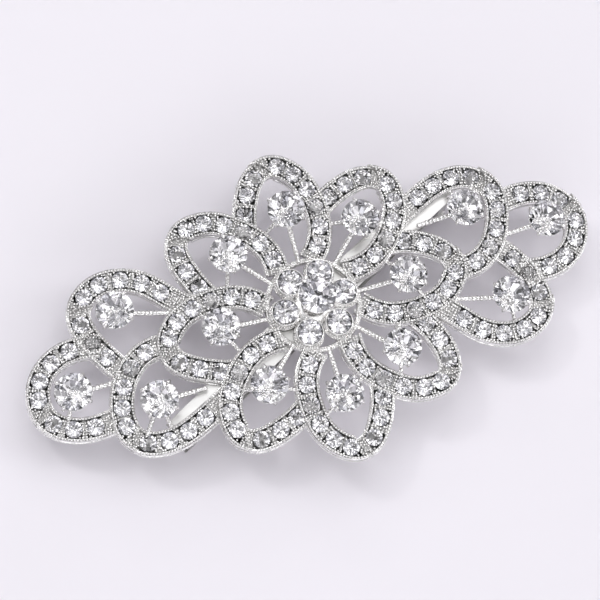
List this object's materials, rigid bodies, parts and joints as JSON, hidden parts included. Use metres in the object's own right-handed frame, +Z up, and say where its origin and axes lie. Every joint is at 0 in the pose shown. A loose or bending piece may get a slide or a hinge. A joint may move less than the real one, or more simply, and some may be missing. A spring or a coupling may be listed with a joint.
{
  "type": "hair barrette",
  "caption": "Flower-shaped rhinestone hair barrette: folded pave bands and raised claw-set stones on a sprung lever clip.",
  "frame": {"origin": "under the middle of the flower, level with the lever's lowest point, so at the bottom centre of the whole clip", "axes": "+X along the spray's long axis, +Y across it, +Z up out of the jewelled face"},
  "size_m": [0.0928, 0.0502, 0.0177],
  "materials": {
    "rhodium_plate": "bright rhodium-coloured plating on cast brass, darker in the recesses",
    "clear_crystal": "clear faceted glass with a silver foil back",
    "spring_steel": "nickel-plated spring steel, lightly brushed"
  },
  "bodies": {
    "spray": {"base_plate": "spring_steel", "bottom_claw_cup": "rhodium_plate", "bottom_petal_band": "rhodium_plate", "bottom_petal_stone": "clear_crystal", "centre_claw_cup": "rhodium_plate", "centre_stone": "clear_crystal", "hinge_pin": "spring_steel", "inner_small_stones": "clear_crystal", "left_claw_cup": "rhodium_plate", "left_end_lower_claw_cup": "rhodium_plate", "left_end_lower_petal_band": "rhodium_plate", "left_end_lower_petal_stone": "clear_crystal", "left_end_small_stones": "clear_crystal", "left_end_tip_claw_cup": "rhodium_plate", "left_end_tip_petal_band": "rhodium_plate", "left_end_tip_petal_stone": "clear_crystal", "left_end_upper_claw_cup": "rhodium_plate", "left_end_upper_petal_band": "rhodium_plate", "left_end_upper_petal_stone": "clear_crystal", "left_petal_band": "rhodium_plate", "left_petal_stone": "clear_crystal", "lower_left_claw_cup": "rhodium_plate", "lower_left_petal_band": "rhodium_plate", "lower_left_petal_stone": "clear_crystal", "lower_right_claw_cup": "rhodium_plate", "lower_right_petal_band": "rhodium_plate", "lower_right_petal_stone": "clear_crystal", "right_claw_cup": "rhodium_plate", "right_end_lower_claw_cup": "rhodium_plate", "right_end_lower_petal_band": "rhodium_plate", "right_end_lower_petal_stone": "clear_crystal", "right_end_small_stones": "clear_crystal", "right_end_tip_claw_cup": "rhodium_plate", "right_end_tip_petal_band": "rhodium_plate", "right_end_tip_petal_stone": "clear_crystal", "right_end_upper_claw_cup": "rhodium_plate", "right_end_upper_petal_band": "rhodium_plate", "right_end_upper_petal_stone": "clear_crystal", "right_petal_band": "rhodium_plate", "right_petal_stone": "clear_crystal", "rosette_base": "rhodium_plate", "rosette_stones": "clear_crystal", "top_claw_cup": "rhodium_plate", "top_petal_band": "rhodium_plate", "top_petal_stone": "clear_crystal", "upper_left_claw_cup": "rhodium_plate", "upper_left_petal_band": "rhodium_plate", "upper_left_petal_stone": "clear_crystal", "upper_right_claw_cup": "rhodium_plate", "upper_right_petal_band": "rhodium_plate", "upper_right_petal_stone": "clear_crystal"},
    "lever": {"lever_arm": "spring_steel"},
    "bow": {"tension_bow": "spring_steel"},
    "front_catch": {"front_prong": "spring_steel"},
    "back_catch": {"back_prong": "spring_steel"}
  },
  "joints": [
    {"name": "lever_hinge", "type": "hinge", "parent": "spray", "child": "lever", "pos_m": [0.02395, 0.01247, 0.00225], "axis": [0.4617, -0.887, 0], "range_deg": [0, 75]},
    {"name": "bow_spring", "type": "hinge", "parent": "spray", "child": "bow", "pos_m": [0.02395, 0.01247, 0.00225], "axis": [-0.4617, 0.887, 0], "range_deg": [0, 1.5], "stiffness_Nm_per_rad": 0.5},
    {"name": "front_prong_squeeze", "type": "hinge", "parent": "spray", "child": "front_catch", "pos_m": [-0.023, -0.01321, 0.00663], "axis": [0.887, 0.4617, 0], "range_deg": [0, 4.5], "stiffness_Nm_per_rad": 0.02},
    {"name": "back_prong_squeeze", "type": "hinge", "parent": "spray", "child": "back_catch", "pos_m": [-0.02401, -0.01126, 0.00663], "axis": [-0.887, -0.4617, 0], "range_deg": [0, 4.5], "stiffness_Nm_per_rad": 0.02}
  ]
}
